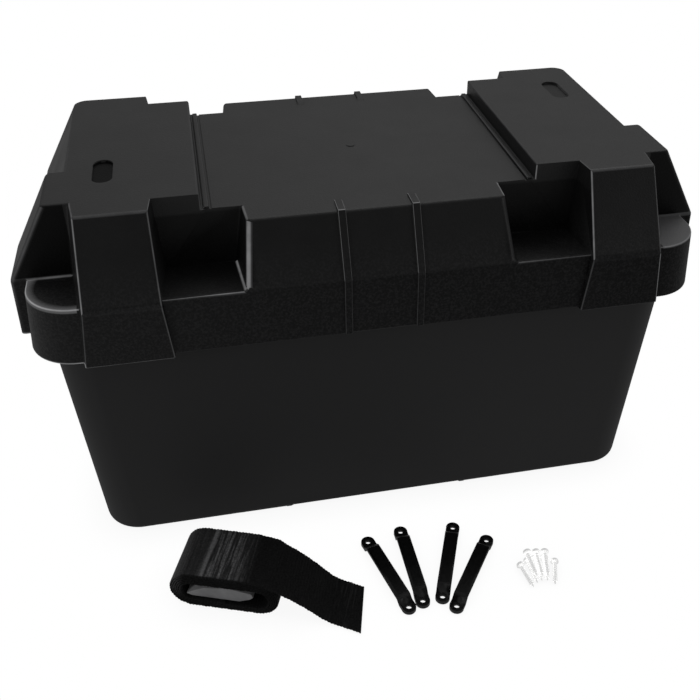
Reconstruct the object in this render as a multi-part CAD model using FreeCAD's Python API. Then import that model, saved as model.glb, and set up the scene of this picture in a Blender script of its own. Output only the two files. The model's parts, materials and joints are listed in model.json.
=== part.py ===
import FreeCAD, Part
import math
import os

# Vented battery box for a deep cycle battery, closed, with its tie-down kit laid out in front.
# Frame: millimetres, +X along the length to the right, +Y to the back, +Z up.
# Origin: centre of the tub's footprint, on the plane that the foot pads and the loose pieces
# stand on. Dimensions ending in _L and _W are half lengths and half widths about that centre,
# unless their comment says otherwise.

V = FreeCAD.Vector
os.makedirs("parts", exist_ok=True)


# ---------------------------------------------------------------- helpers
def polygon_face(points):
    return Part.Face(Part.makePolygon(list(points) + [points[0]]))


def prism_x(yz, x0, x1):
    """Outline of (y, z) points extruded from x0 to x1."""
    return polygon_face([V(x0, y, z) for y, z in yz]).extrude(V(x1 - x0, 0, 0))


def prism_y(xz, y0, y1):
    """Outline of (x, z) points extruded from y0 to y1."""
    return polygon_face([V(x, y0, z) for x, z in xz]).extrude(V(0, y1 - y0, 0))


def block(x0, x1, y0, y1, z0, z1):
    return Part.makeBox(x1 - x0, y1 - y0, z1 - z0, V(x0, y0, z0))


def cylinder(radius, height, x, y, z):
    """Upright cylinder standing on (x, y, z)."""
    return Part.makeCylinder(radius, height, V(x, y, z))


def ring(outer_r, bore_r, height, x, y, z):
    return cylinder(outer_r, height, x, y, z).cut(cylinder(bore_r, 5.0, x, y, z - 1))


def round_rect(x0, x1, y0, y1, radius, z):
    """Rounded rectangle wire; radius is one value, or four for the corners
    (x0, y0) (x1, y0) (x1, y1) (x0, y1)."""
    radii = radius if isinstance(radius, list) else [radius] * 4
    a, b, c, d = [max(r, 0.02) for r in radii]
    corners = [(x0 + a, y0 + a, a, 180), (x1 - b, y0 + b, b, 270),
               (x1 - c, y1 - c, c, 0), (x0 + d, y1 - d, d, 90)]
    arcs = []
    for x, y, r, start in corners:
        angles = [math.radians(start + turn) for turn in (0, 45, 90)]
        arcs.append([V(x + r * math.cos(t), y + r * math.sin(t), z) for t in angles])
    edges = []
    for i, arc in enumerate(arcs):
        edges += [Part.Arc(*arc).toShape(), Part.makeLine(arc[2], arcs[(i + 1) % 4][0])]
    return Part.Wire(edges)


def loft(lower, upper):
    return Part.makeLoft([lower, upper], True, True)


def round_prism(x0, x1, y0, y1, radius, z0, z1):
    return loft(round_rect(x0, x1, y0, y1, radius, z0), round_rect(x0, x1, y0, y1, radius, z1))


def centred_prism(half_l, half_w, radius, z0, z1):
    return round_prism(-half_l, half_l, -half_w, half_w, radius, z0, z1)


def hexa(corners):
    """Solid on eight corners: four of the bottom, then the four above them."""
    sides = [(3, 2, 1, 0), (4, 5, 6, 7), (0, 1, 5, 4), (1, 2, 6, 5), (2, 3, 7, 6), (3, 0, 4, 7)]
    faces = [polygon_face([V(*corners[i]) for i in side]) for side in sides]
    solid = Part.Solid(Part.Shell(faces))
    if solid.Volume < 0:
        solid.reverse()
    return solid


def plane_from(p, q, s):
    """Coefficients a, b, c of x = a + b*y + c*z through three points."""
    rows = FreeCAD.Matrix(1, p[1], p[2], 0, 1, q[1], q[2], 0, 1, s[1], s[2], 0, 0, 0, 0, 1)
    solved = rows.inverse().multiply(V(p[0], q[0], s[0]))
    return solved.x, solved.y, solved.z


def beyond(plane, y_span, z_span, x_far, shift):
    """Solid between the plane x = a + b*y + c*z, moved by shift along X, and x = x_far."""
    a, b, c = plane
    y0, y1 = y_span
    corners = []
    for z in z_span:
        near = [(a + b * y + c * z + shift, y, z) for y in y_span]
        corners += [near[0], (x_far, y0, z), (x_far, y1, z), near[1]]
    return hexa(corners)


def flip_x(shape):
    return shape.mirror(V(0, 0, 0), V(1, 0, 0))


def flip_y(shape):
    return shape.mirror(V(0, 0, 0), V(0, 1, 0))


def both_ends(shape):
    return [shape, flip_x(shape)]


def four_corners(shape):
    return both_ends(shape) + both_ends(flip_y(shape))


def fuse(shapes):
    return shapes[0].fuse(shapes[1:])


def edges_above(shape, z):
    return [e for e in shape.Edges if e.BoundBox.ZMin > z]


def edges_below(shape, z):
    return [e for e in shape.Edges if e.BoundBox.ZMax < z]


def turn_z(shape, degrees):
    shape.rotate(V(0, 0, 0), V(0, 0, 1), degrees)


def export(name, shape):
    if len(shape.Solids) == 1:
        shape = shape.Solids[0]
    if not shape.isValid():
        shape.fix(0.01, 0.001, 0.01)
    shape.exportStep("parts/" + name + ".step")


# ---------------------------------------------------------------- tub
TUB_BOTTOM_L = 198.9        # at the floor plane
TUB_BOTTOM_W = 91.7
TUB_TOP_L = 210.4           # at the top of the rim
TUB_TOP_W = 98.5
TUB_WALL = 3.0
TUB_CORNER_R = 26.0
TUB_EDGE_R = 6.0            # rounding of the outer bottom edge
RIM_Z = 204.6               # top of the rim
RIM_L = 210.8
RIM_W = 110.0
RIM_T = 3.0
RIM_CORNER_R = 27.0
FOOT_STEP_X = 64.5          # inner end of each foot pad
FOOT_STEP_H = 3.6           # rise of the floor between the pads


def tub_loft(inset, z0, z1):
    """Tapered tub body between two heights, moved inwards by inset."""
    def outline(z):
        t = z / RIM_Z
        half_l = TUB_BOTTOM_L + (TUB_TOP_L - TUB_BOTTOM_L) * t - inset
        half_w = TUB_BOTTOM_W + (TUB_TOP_W - TUB_BOTTOM_W) * t - inset
        return round_rect(-half_l, half_l, -half_w, half_w, TUB_CORNER_R - inset, z)
    return loft(outline(z0), outline(z1))


def floor_step(foot_x, top_x, z):
    """Bar with sloped ends, right across the tub, that rises from height z."""
    top = z + FOOT_STEP_H
    return prism_y([(-foot_x, z - 1.0), (-foot_x, z), (-top_x, top),
                    (top_x, top), (foot_x, z), (foot_x, z - 1.0)], -130, 130)


def base_tub():
    body = tub_loft(0.0, 0.0, RIM_Z)
    body = body.makeFillet(TUB_EDGE_R, edges_below(body, 0.01))
    rim = centred_prism(RIM_L, RIM_W, RIM_CORNER_R, RIM_Z - RIM_T, RIM_Z)
    inside = tub_loft(TUB_WALL, TUB_WALL, RIM_Z + 1.0)
    inside = inside.makeFillet(TUB_EDGE_R - 2.0, edges_below(inside, TUB_WALL + 0.01))
    tub = body.fuse(rim).cut(inside)
    # the floor between the two foot pads is raised, inside and out
    step_out = floor_step(FOOT_STEP_X + 3.0, FOOT_STEP_X - 1.5, 0.0)
    step_in = floor_step(FOOT_STEP_X + 4.0, FOOT_STEP_X, TUB_WALL)
    step_in = step_in.common(tub_loft(1.0, 0.5, 30.0))
    return tub.fuse(step_in).cut(step_out)


# ---------------------------------------------------------------- lid
LEDGE_Z = 207.5             # shoulder between the skirt and the raised top
CAP_Z = 255.6               # top of the two end caps, the highest plane
PLATEAU_Z = 245.2           # top of the middle plateau
SKIRT_Z = 169.1             # bottom of the skirt
PILLAR_Z = 166.9            # bottom of the four corner pillars
CREASE_Z = 205.6            # where a pillar's sloped face turns steep
EAR_Z = 169.3               # bottom of the two ears, one at each end
SKIRT_L = 214.0             # at the ledge
SKIRT_FLARE = 3.5           # how much further out each end of the skirt stands at its bottom
SKIRT_W = 114.5
SKIRT_R = 30.0              # plan radius of the skirt's corners
LID_T = 2.8                 # lid wall
PLATEAU_EDGE_Y = 96.2       # half width of the plateau's top
CAP_EDGE_Y = 93.2           # half width of a cap's top at the pillars
CAP_EDGE_X = 186.0          # outer end of a cap's top
CAP_INNER_X = 105.2         # inner edge of a cap's top
CAP_TOP_R = 9.0
WALL_Y = 76.8               # upright wall between a recess and the middle of the lid
APRON = 1.1                 # how far the wall under a cap stands proud of WALL_Y
PILLAR_CREASE_Y = 118.5
PILLAR_FOOT_Y = 117.0
EAR_TOP_X = 196.7
EAR_LEDGE_X = 223.7
EAR_FOOT_X = 225.0
EAR_Y0 = -74.8
EAR_Y1 = -28.5
GUIDE_X0 = 20.6             # strap guide ribs, inner face
GUIDE_X1 = 25.2             # strap guide ribs, outer face
GUIDE_H = 1.4
SLOT_L = 33.9               # oval sockets in the caps, full length along Y
SLOT_W = 12.7               # full width
SLOT_DEPTH = 1.7
SLOT_CENTRES = [(-162.5, -33.1), (163.9, 46.1)]
CAVITY_DROP = 20.0          # the hollow runs this far below the lid's bottom edges

# run of the plateau's front and back slopes per mm of height
PLATEAU_SLOPE = (SKIRT_W - PLATEAU_EDGE_Y) / (PLATEAU_Z - LEDGE_Z)
# shift of a sloped face, per mm of wall
PLATEAU_SHIFT = 1.11        # across Y, at constant height
PILLAR_SHIFT = 0.62         # across Y, at the pillar's top corner
CAP_SHIFT = 0.65            # at the top edges of the caps and ears

# side faces of the right front pillar, and the plateau's side face in the recess next to it
INNER_PLANE = plane_from((135.4, -CAP_EDGE_Y, CAP_Z), (134.1, -PILLAR_CREASE_Y, CREASE_Z),
                         (130.1, -77.3, LEDGE_Z))
OUTER_PLANE = plane_from((178.0, -CAP_EDGE_Y, CAP_Z), (179.9, -PILLAR_CREASE_Y, CREASE_Z),
                         (180.7, EAR_Y0, CAP_Z))
SIDE_PLANE = plane_from((79.6, -PLATEAU_EDGE_Y, PLATEAU_Z), (84.2, -SKIRT_W, LEDGE_Z),
                        (86.7, -77.9, LEDGE_Z))

# The functions below take inset: 0 builds the outside, LID_T the hollow.


def skirt(inset, bottom_z):
    def outline(z):
        half_l = SKIRT_L + SKIRT_FLARE * (LEDGE_Z - z) / (LEDGE_Z - SKIRT_Z) - inset
        half_w = SKIRT_W - inset
        return round_rect(-half_l, half_l, -half_w, half_w, SKIRT_R - inset, z)
    return loft(outline(bottom_z), outline(LEDGE_Z - inset))


def plateau(inset):
    shift = PLATEAU_SHIFT * inset
    top_y = PLATEAU_EDGE_Y + PLATEAU_SLOPE * inset - shift
    foot_y = SKIRT_W - inset
    back = [(top_y, PLATEAU_Z - inset)]
    if inset > 0:
        # the hollow's slope meets its upright wall, which runs on down into the skirt
        back += [(foot_y, LEDGE_Z + (inset - shift) / PLATEAU_SLOPE),
                 (foot_y, LEDGE_Z - inset - 2.0)]
    else:
        back.append((foot_y, LEDGE_Z))
    front = [(-y, z) for y, z in reversed(back)]
    return prism_x(front + back, -CAP_INNER_X - 10, CAP_INNER_X + 10)


def end_cap(inset):
    """Right end cap with its sloped sides, before the recesses and the notch are taken out."""
    z0, z1 = LEDGE_Z - inset, CAP_Z - inset
    shift = CAP_SHIFT * inset
    half_w = SKIRT_W - inset
    corner_r = SKIRT_R - inset
    top_w = CAP_EDGE_Y - shift
    foot = round_rect(60, SKIRT_L - inset, -half_w, half_w, [0, corner_r, corner_r, 0], z0)
    top = round_rect(60, CAP_EDGE_X - shift, -top_w, top_w, [0, CAP_TOP_R, CAP_TOP_R, 0], z1)
    return loft(foot, top).cut(block(0, CAP_INNER_X + inset, -200, 200, z0 - 5, z1 + 5))


def pillar(inset, bottom_z):
    """Right front pillar: sloped upper front, near vertical lower front, two side planes."""
    top_z = CAP_Z - inset
    yz = [(-60, bottom_z), (-PILLAR_FOOT_Y + inset, bottom_z),
          (-PILLAR_CREASE_Y + inset, CREASE_Z - 0.3 * inset),
          (-CAP_EDGE_Y + PILLAR_SHIFT * inset, top_z), (-60, top_z)]
    body = prism_x(yz, 110, 205)
    body = body.common(beyond(INNER_PLANE, (-140, -40), (120, 300), 260, inset))
    return body.cut(beyond(OUTER_PLANE, (-140, -40), (120, 300), 300, -inset))


def ear(inset, bottom_z):
    """Ear on the right end, towards the front."""
    top_z = CAP_Z - inset
    xz = [(140, top_z), (EAR_TOP_X - CAP_SHIFT * inset, top_z),
          (EAR_LEDGE_X - inset, LEDGE_Z - 0.5 * inset),
          (EAR_FOOT_X - inset, bottom_z), (140, bottom_z)]
    return prism_y(xz, EAR_Y0 + inset, EAR_Y1 - inset)


def lid_solid(inset, drop):
    """Whole lid envelope, with its bottom edges lowered by drop."""
    parts = [skirt(inset, SKIRT_Z - drop), plateau(inset)]
    parts += both_ends(end_cap(inset))
    parts += four_corners(pillar(inset, PILLAR_Z - drop))
    parts += both_ends(ear(inset, EAR_Z - drop))
    solid = fuse(parts)
    # four recesses, between the plateau's side and a pillar's inner side
    raised = (LEDGE_Z - inset, 300)
    recess = beyond(SIDE_PLANE, (-135, -WALL_Y + inset), raised, 260, -inset)
    recess = recess.cut(beyond(INNER_PLANE, (-140, -40), (120, 320), 300, inset))
    # two front corner notches, beyond a pillar's outer side and in front of the ear
    notch = beyond(OUTER_PLANE, (-135, EAR_Y0 + inset), raised, 260, -inset)
    return solid.cut(four_corners(recess) + both_ends(notch))


def strap_guide():
    """Rib over the plateau's front edge and down the skirt."""
    edge_y, rib_z, rib_y = PLATEAU_EDGE_Y, PLATEAU_Z + GUIDE_H, SKIRT_W + GUIDE_H
    yz = [(-80.0, PLATEAU_Z - 1.0), (-80.0, PLATEAU_Z), (-84.0, rib_z), (-edge_y - 0.7, rib_z),
          (-rib_y, LEDGE_Z + 0.5), (-rib_y, SKIRT_Z), (-SKIRT_W + 1.0, SKIRT_Z),
          (-SKIRT_W + 1.0, LEDGE_Z - 0.5), (-edge_y + 1.0, PLATEAU_Z - 1.0)]
    return prism_x(yz, GUIDE_X0, GUIDE_X1)


def oval_socket(x, y):
    straight = (SLOT_L - SLOT_W) / 2
    radius = SLOT_W / 2
    z0, z1 = CAP_Z - SLOT_DEPTH, CAP_Z + 1.0
    return fuse([block(x - radius, x + radius, y - straight, y + straight, z0, z1),
                 cylinder(radius, z1 - z0, x, y - straight, z0),
                 cylinder(radius, z1 - z0, x, y + straight, z0)])


def lid_shell():
    # wall under each cap, standing proud along a slanted edge in the recess
    apron = prism_y([(102.2, PLATEAU_Z), (130.3, LEDGE_Z), (136.5, LEDGE_Z), (138.0, CAP_Z),
                     (CAP_INNER_X, CAP_Z), (CAP_INNER_X, PLATEAU_Z)],
                    -WALL_Y - APRON, -WALL_Y + 1.5)
    # narrow raised strip beside each cap, with a groove along its inner side
    strip_x = 100.4
    strip = block(strip_x, 103.6, -WALL_Y + 0.6, WALL_Y - 0.6, PLATEAU_Z - 1.5, PLATEAU_Z + 1.3)
    groove = block(98.9, strip_x, -WALL_Y - 0.1, WALL_Y + 0.1, PLATEAU_Z - 0.7, PLATEAU_Z + 1.0)
    # low disc in the middle of the plateau
    disc = cylinder(3.0, 0.5, 0, 0, PLATEAU_Z - 0.1)
    adds = both_ends(apron) + both_ends(strip) + both_ends(flip_y(apron))
    adds += four_corners(strap_guide()) + [disc]
    cuts = both_ends(groove) + [oval_socket(x, y) for x, y in SLOT_CENTRES]
    lid = lid_solid(0.0, 0.0).fuse(adds).cut(cuts)
    return lid.cut(lid_solid(LID_T, CAVITY_DROP)).removeSplitter()


# ---------------------------------------------------------------- battery container and cover
BAT_Z = TUB_WALL + FOOT_STEP_H + 0.15   # underside, just clear of the tub's raised floor
BAT_L = 153.0               # cover
BAT_W = 85.5
COVER_LIP = 1.5             # overhang of the cover past the case
CASE_L = BAT_L - COVER_LIP
CASE_W = BAT_W - COVER_LIP
CASE_T = 3.0
CASE_TOP = 180.0
COVER_T = 4.0
DECK_Z = 200.0              # top of the cover
SHELF_Z = 194.0             # terminal shelves in the cover's front corners
CELLS = 6
PARTITION_T = 2.0
PLATE_W = 72.0
PLATE_Z0 = 18.0             # top of the rests that the plates stand on
PLATE_Z1 = 146.0
LUG_Z = 158.0               # top of the plate lugs
LUG_Y = 45.0
LUG_HALF = 6.0
LINK_H = 6.0                # height of the lead bars over the lugs
LINK_HALF = 6.8             # half width of those bars
REST_Y = 38.0
FILL_Y = 12.0               # row of fill holes
POST_X = 130.0
POST_Y = -LUG_Y
STUD_X = 104.0

CELL_WIDTH = (2 * (CASE_L - CASE_T) - (CELLS - 1) * PARTITION_T) / CELLS
CELL_PITCH = CELL_WIDTH + PARTITION_T
CELL_X = [-CASE_L + CASE_T + CELL_WIDTH / 2 + i * CELL_PITCH for i in range(CELLS)]


def link_side(cell):
    """+1 where the link from this cell to the next lies to the back, -1 to the front."""
    return 1 if cell % 2 == 0 else -1


def span(side, a, b):
    """Two distances from the middle, as rising x values on the given side."""
    return sorted((side * a, side * b))


def battery_case():
    case = centred_prism(CASE_L, CASE_W, 7.0, BAT_Z, CASE_TOP)
    case = case.cut(centred_prism(CASE_L - CASE_T, CASE_W - CASE_T, 4.0,
                                  BAT_Z + CASE_T, CASE_TOP + 1))
    partitions = []
    for i in range(CELLS - 1):
        x0 = CELL_X[i] + CELL_WIDTH / 2
        x1 = x0 + PARTITION_T
        wall = block(x0, x1, -CASE_W + 1.0, CASE_W - 1.0, BAT_Z + 1.0, CASE_TOP)
        # window for the link between two cells
        y = link_side(i) * LUG_Y
        half = LINK_HALF + 0.4
        window = block(x0 - 1, x1 + 1, y - half, y + half, LUG_Z - 0.1, LUG_Z + LINK_H + 0.1)
        partitions.append(wall.cut(window))
    rests = []
    half = CELL_PITCH / 2 - 0.9
    for x in CELL_X:
        for y in (-REST_Y, REST_Y):
            rests.append(block(x - half, x + half, y - 2.5, y + 2.5, BAT_Z + 1.0, PLATE_Z0))
    return case.fuse(partitions + rests)


def battery_cover():
    cover = centred_prism(BAT_L, BAT_W, 9.0, CASE_TOP, DECK_Z)
    cover = cover.makeFillet(3.0, edges_above(cover, DECK_Z - 0.01))
    inside = centred_prism(BAT_L - COVER_T, BAT_W - COVER_T, 5.0, CASE_TOP - 1, DECK_Z - COVER_T)
    # the hollow stops short of the two terminal shelves
    for side in (-1, 1):
        x0, x1 = span(side, 88.0, 160.0)
        inside = inside.cut(block(x0, x1, -90.0, -26.0, SHELF_Z - COVER_T, DECK_Z))
    cover = cover.cut(inside)
    for side in (-1, 1):
        x0, x1 = span(side, 92.0, 160.0)
        cover = cover.cut(block(x0, x1, -90.0, -30.0, SHELF_Z, DECK_Z + 5))
    for x in CELL_X:
        cover = cover.cut(cylinder(9.5, 40, x, FILL_Y, CASE_TOP - 5))
    for side in (-1, 1):
        cover = cover.cut(cylinder(7.15, 40, side * POST_X, POST_Y, CASE_TOP - 5))
    return cover


# ---------------------------------------------------------------- plates, separators and links
SEQUENCE = "NSPSNSPSNSPSNSPSNSPSN"      # one cell: negative, separator, positive ...
THICKNESS = {"P": 2.4, "N": 2.0, "S": 1.5}
STACK_GAP = 0.18
STACK = sum(THICKNESS[kind] for kind in SEQUENCE) + STACK_GAP * (len(SEQUENCE) - 1)
LINK_REACH = STACK / 2 + 0.8            # from a cell's middle to the end of its lead bar
SEPARATOR_MARGIN = 3.0                  # beyond the plates, at the sides and on top


def plate(x0, x1, lug_y):
    """Battery plate with one lug on its top edge."""
    z0 = PLATE_Z0 + 0.05
    lug0, lug1 = lug_y - LUG_HALF, lug_y + LUG_HALF
    yz = [(-PLATE_W, z0), (PLATE_W, z0), (PLATE_W, PLATE_Z1), (lug1, PLATE_Z1),
          (lug1, LUG_Z), (lug0, LUG_Z), (lug0, PLATE_Z1), (-PLATE_W, PLATE_Z1)]
    return prism_x(yz, x0, x1)


def plate_stacks():
    """All plates and separators, as lists by kind."""
    stacks = {"P": [], "N": [], "S": []}
    half_w = PLATE_W + SEPARATOR_MARGIN
    top_z = PLATE_Z1 + SEPARATOR_MARGIN
    for i in range(CELLS):
        # a link joins this cell's negative lugs to the next cell's positive lugs
        lug_y = {"P": -link_side(i) * LUG_Y, "N": link_side(i) * LUG_Y}
        x = CELL_X[i] - STACK / 2
        for kind in SEQUENCE:
            x1 = x + THICKNESS[kind]
            if kind == "S":
                piece = block(x, x1, -half_w, half_w, PLATE_Z0 + 0.05, top_z)
            else:
                piece = plate(x, x1, lug_y[kind])
            stacks[kind].append(piece)
            x = x1 + STACK_GAP
    return stacks


def lead_bar(first, last, y):
    """Bar on the lugs, from one cell to another."""
    return block(CELL_X[first] - LINK_REACH, CELL_X[last] + LINK_REACH,
                 y - LINK_HALF, y + LINK_HALF, LUG_Z, LUG_Z + LINK_H)


def cell_links():
    return Part.Compound([lead_bar(i, i + 1, link_side(i) * LUG_Y) for i in range(CELLS - 1)])


# ---------------------------------------------------------------- terminals
PAD_TOP = SHELF_Z + 5.0
STUD_FOOT = SHELF_Z + 1.0
STUD_TOP = SHELF_Z + 27.0
THREAD_PITCH = 1.5
THREAD_DEPTH = 0.7
WASHER_T = 1.6
NUT_Z = PAD_TOP + WASHER_T + 0.1
# name, side of the battery along X, end cell, stud radius
TERMINALS = [("positive", -1, 0, 4.75), ("negative", 1, CELLS - 1, 3.95)]
# right wing of a wing nut: x from the stud's axis, z from the nut's underside
WING = [(0, 1.2), (5.5, 1.2), (9.0, 5.0), (13.2, 9.5), (14.0, 13.5),
        (11.6, 14.6), (8.2, 12.5), (4.8, 8.0), (0, 8.0)]


def terminal(side, cell, stud_r):
    """Lead bar on the plate lugs, riser through the cover, pad on the shelf and tapered post."""
    post_x = side * POST_X
    bar_top = LUG_Z + LINK_H
    riser = cylinder(7.05, SHELF_Z - bar_top + 3, post_x, POST_Y, bar_top - 1.5)
    x0, x1 = span(side, POST_X + 10.5, STUD_X - 8.0)
    pad = round_prism(x0, x1, POST_Y - 10.0, POST_Y + 10.0, 6.0, SHELF_Z + 0.05, PAD_TOP)
    post = Part.makeCone(8.75, 7.9, 18.0, V(post_x, POST_Y, PAD_TOP - 0.1))
    hole = cylinder(stud_r, 30, side * STUD_X, POST_Y, STUD_FOOT)
    return fuse([lead_bar(cell, cell, POST_Y), riser, pad, post]).cut(hole)


def stud(x, radius):
    """Plain root in the pad, then thread crests drawn as rings."""
    rz = [(0, STUD_FOOT), (radius, STUD_FOOT), (radius, PAD_TOP)]
    z = PAD_TOP
    while z + THREAD_PITCH < STUD_TOP - 1.0:
        rz += [(radius - THREAD_DEPTH, z + THREAD_PITCH / 2), (radius, z + THREAD_PITCH)]
        z += THREAD_PITCH
    rz += [(radius - 1.0, STUD_TOP), (0, STUD_TOP)]
    profile = polygon_face([V(r, 0, z) for r, z in rz])
    return profile.revolve(V(0, 0, 0), V(0, 0, 1), 360).translate(V(x, POST_Y, 0))


def wing_nut(x, stud_r):
    hub = Part.makeCone(stud_r + 3.6, stud_r + 2.4, 8.5, V(x, POST_Y, NUT_Z))
    wings = fuse(both_ends(prism_y(WING, -1.4, 1.4))).translate(V(x, POST_Y, NUT_Z))
    return hub.fuse(wings).cut(cylinder(stud_r + 0.06, 30, x, POST_Y, NUT_Z - 5))


# ---------------------------------------------------------------- vent caps
def vent_cap(cells):
    """Bar over three cells with a hollow plug in each fill hole."""
    x0, x1 = CELL_X[cells[0]] - 20.0, CELL_X[cells[-1]] + 20.0
    top_z = DECK_Z + 13.0
    top = round_prism(x0, x1, FILL_Y - 22.0, FILL_Y + 22.0, 6.0, DECK_Z + 1.6, top_z)
    top = top.makeFillet(2.5, edges_above(top, top_z - 0.1))
    plugs = [cylinder(9.2, 22.0, CELL_X[i], FILL_Y, DECK_Z - 18.0) for i in cells]
    bores = [cylinder(6.8, 22.0, CELL_X[i], FILL_Y, DECK_Z - 18.5) for i in cells]
    return fuse([top] + plugs).cut(bores)


def vent_seals():
    """Flat ring round each plug, between the deck and the vent cap."""
    return Part.Compound([ring(12.5, 9.3, 1.5, x, FILL_Y, DECK_Z + 0.05) for x in CELL_X])


# ---------------------------------------------------------------- rolled strap with its buckle
# Drawn with the roll's axis along Y and its underside at z = 0, then turned and placed.
WEB_HALF = 38.1 / 2         # half the webbing's width
WEB_T = 1.25
WRAPS = 6                   # layers over the middle of the roll, 1 the innermost
WRAP_PITCH = 1.38           # from one layer to the next
WRAP_SHIFT = 0.6            # each inner layer stands this much further forward
ROLL_L = 75.0               # full length of the roll, over the wraps
ROLL_H = 31.0               # full height of the roll
ROLL_R = ROLL_H / 2
ROLL_X = ROLL_L / 2 - ROLL_R            # centre of each round end
ROLL_TURN = -20.82          # degrees about +Z
ROLL_CENTRE = V(-112.4, -154.6, 0)
LAST_WRAP_X = 8.0           # where the outer layer stops on top of the roll
# free end, upper face (x, z): leaves the top of the roll and slopes to the table
TAIL = [(7.0, ROLL_H), (15.0, ROLL_H - 0.3), (24.0, 28.6), (33.0, 25.2), (44.0, 19.2),
        (55.0, 11.8), (62.0, 6.6), (68.0, 2.9), (74.0, WEB_T)]
TAIL_TURN = -13.0           # degrees about +Z, of the flat part, to the front
TAIL_END = 22.0             # reach of the flat part from its turning point
BUCKLE_X = -3.5
BUCKLE_Z = 8.35
# buckle outline, (x, z) from the point above
BUCKLE = [(-23.3, 1.9), (-19.5, 0.25), (13.0, 0), (20.5, 3.0), (23.0, 5.4), (22.0, 8.4),
          (8.0, 11.2), (4.0, 11.2), (-11.0, 8.9)]
BUCKLE_SLOTS = [(-13.5, -7.5), (-3.0, 3.0), (9.5, 15.5)]    # x from BUCKLE_X


def roll_place(shape):
    placed = shape.copy()
    turn_z(placed, ROLL_TURN)
    placed.translate(ROLL_CENTRE)
    return placed


def wrap_run(layer, offset):
    """Path of one turn, offset outwards from the layer's inner face: two points make a line,
    three an arc. It goes from the bottom to the left, up round the left end and over the top;
    every layer but the last goes on down round the right end and back to the middle."""
    r = ROLL_R - WEB_T - (WRAPS - layer) * WRAP_PITCH + offset
    half_pitch = WRAP_PITCH / 2
    low, top = ROLL_R - r, ROLL_R + r
    left_low, left_top = V(-ROLL_X, 0, low), V(-ROLL_X, 0, top)
    run = [(V(0, 0, low), left_low), (left_low, V(-ROLL_X - r, 0, ROLL_R), left_top)]
    if layer == WRAPS:
        return run + [(left_top, V(LAST_WRAP_X, 0, top))]
    right_r = r + half_pitch
    right_z = ROLL_R - half_pitch
    right_top, right_low = V(ROLL_X, 0, top), V(ROLL_X, 0, right_z - right_r)
    return run + [(left_top, right_top),
                  (right_top, V(ROLL_X + right_r, 0, right_z), right_low),
                  (right_low, V(0, 0, right_low.z))]


def wrap_layer(layer):
    inner, outer = wrap_run(layer, 0.0), wrap_run(layer, WEB_T)
    back = [points[::-1] for points in reversed(outer)]
    loop = inner + [(inner[-1][-1], outer[-1][-1])] + back + [(outer[0][0], inner[0][0])]
    edges = [Part.makeLine(*p) if len(p) == 2 else Part.Arc(*p).toShape() for p in loop]
    front = -WEB_HALF - (WRAPS - layer) * WRAP_SHIFT
    sheet = Part.Face(Part.Wire(edges)).extrude(V(0, 2 * WEB_HALF, 0))
    return sheet.translate(V(0, front, 0))


def tail_underside():
    """Points one webbing thickness below TAIL, square to its local direction."""
    points = []
    for i, (x, z) in enumerate(TAIL):
        x0, z0 = TAIL[max(i - 1, 0)]
        x1, z1 = TAIL[min(i + 1, len(TAIL) - 1)]
        length = math.hypot(x1 - x0, z1 - z0)
        points.append((x + (z1 - z0) / length * WEB_T,
                       max(z - (x1 - x0) / length * WEB_T, 0.0)))
    points[-1] = (TAIL[-1][0], 0.0)
    return points


def strap_webbing():
    layers = [wrap_layer(k) for k in range(1, WRAPS + 1)]
    slope = prism_y(TAIL + tail_underside()[::-1], -WEB_HALF, WEB_HALF)
    flat = block(-5.5, TAIL_END, -WEB_HALF, WEB_HALF, 0.0, WEB_T)
    turn_z(flat, TAIL_TURN)
    flat.translate(V(TAIL[-1][0] - 2.0, -2.0, 0))
    return roll_place(fuse(layers + [slope, flat]))


def strap_buckle():
    """Wedge-shaped buckle in the middle of the roll, with three slots right through."""
    shift = (WRAPS - 1) * WRAP_SHIFT
    front = -WEB_HALF - shift + 0.6
    back = WEB_HALF - shift - 0.6
    body = prism_y([(BUCKLE_X + x, BUCKLE_Z + z) for x, z in BUCKLE], front, back)
    for x0, x1 in BUCKLE_SLOTS:
        body = body.cut(block(BUCKLE_X + x0, BUCKLE_X + x1, front + 4.0, back - 4.0,
                              BUCKLE_Z - 10, BUCKLE_Z + 30))
    return roll_place(body)


# ---------------------------------------------------------------- tie-down loops
LOOP_SPAN = 63.5            # hole to hole
LOOP_W = 9.6                # full width
LOOP_H = 6.6
LOOP_BRIDGE_T = 3.4
LOOP_FOOT_T = 3.0
LOOP_HOLE_R = 2.1
# centre (x, y), then direction (x, y) of each loop's length
LOOPS = [((-8.6, -169.1), (15.3, -60.7)), ((9.1, -165.1), (0.8, -65.5)),
         ((35.1, -166.6), (-23.8, -59.8)), ((48.9, -179.7), (-35.1, -49.6))]


def tie_down_loop():
    """Loop with two eyed feet and a raised bridge that a strap passes under."""
    half = LOOP_SPAN / 2
    r = LOOP_W / 2 + 0.1
    foot, top = LOOP_FOOT_T, LOOP_H
    # right half of the outline (x, z), from the underside of the bridge round to its top
    right = [(half - r - 4.2, top - LOOP_BRIDGE_T), (half - r - 0.2, 0), (half + r, 0),
             (half + r, foot), (half - r + 0.6, foot), (half - r - 4.0, top)]
    left = [(-x, z) for x, z in reversed(right)]
    body = prism_y(left[3:] + right + left[:3], -LOOP_W / 2, LOOP_W / 2)
    eyes = [cylinder(r, foot, x, 0, 0) for x in (-half, half)]
    trim = fuse([block(-half, half, -20, 20, -1, 20)]
                + [cylinder(r, 21, x, 0, -1) for x in (-half, half)])
    body = body.common(trim).fuse(eyes)
    for x in (-half, half):
        body = body.cut(cylinder(LOOP_HOLE_R, 20, x, 0, -5))
    long_edges = [e for e in edges_above(body, top - 0.01) if e.BoundBox.XLength > 10]
    return body.makeFillet(1.2, long_edges)


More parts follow.
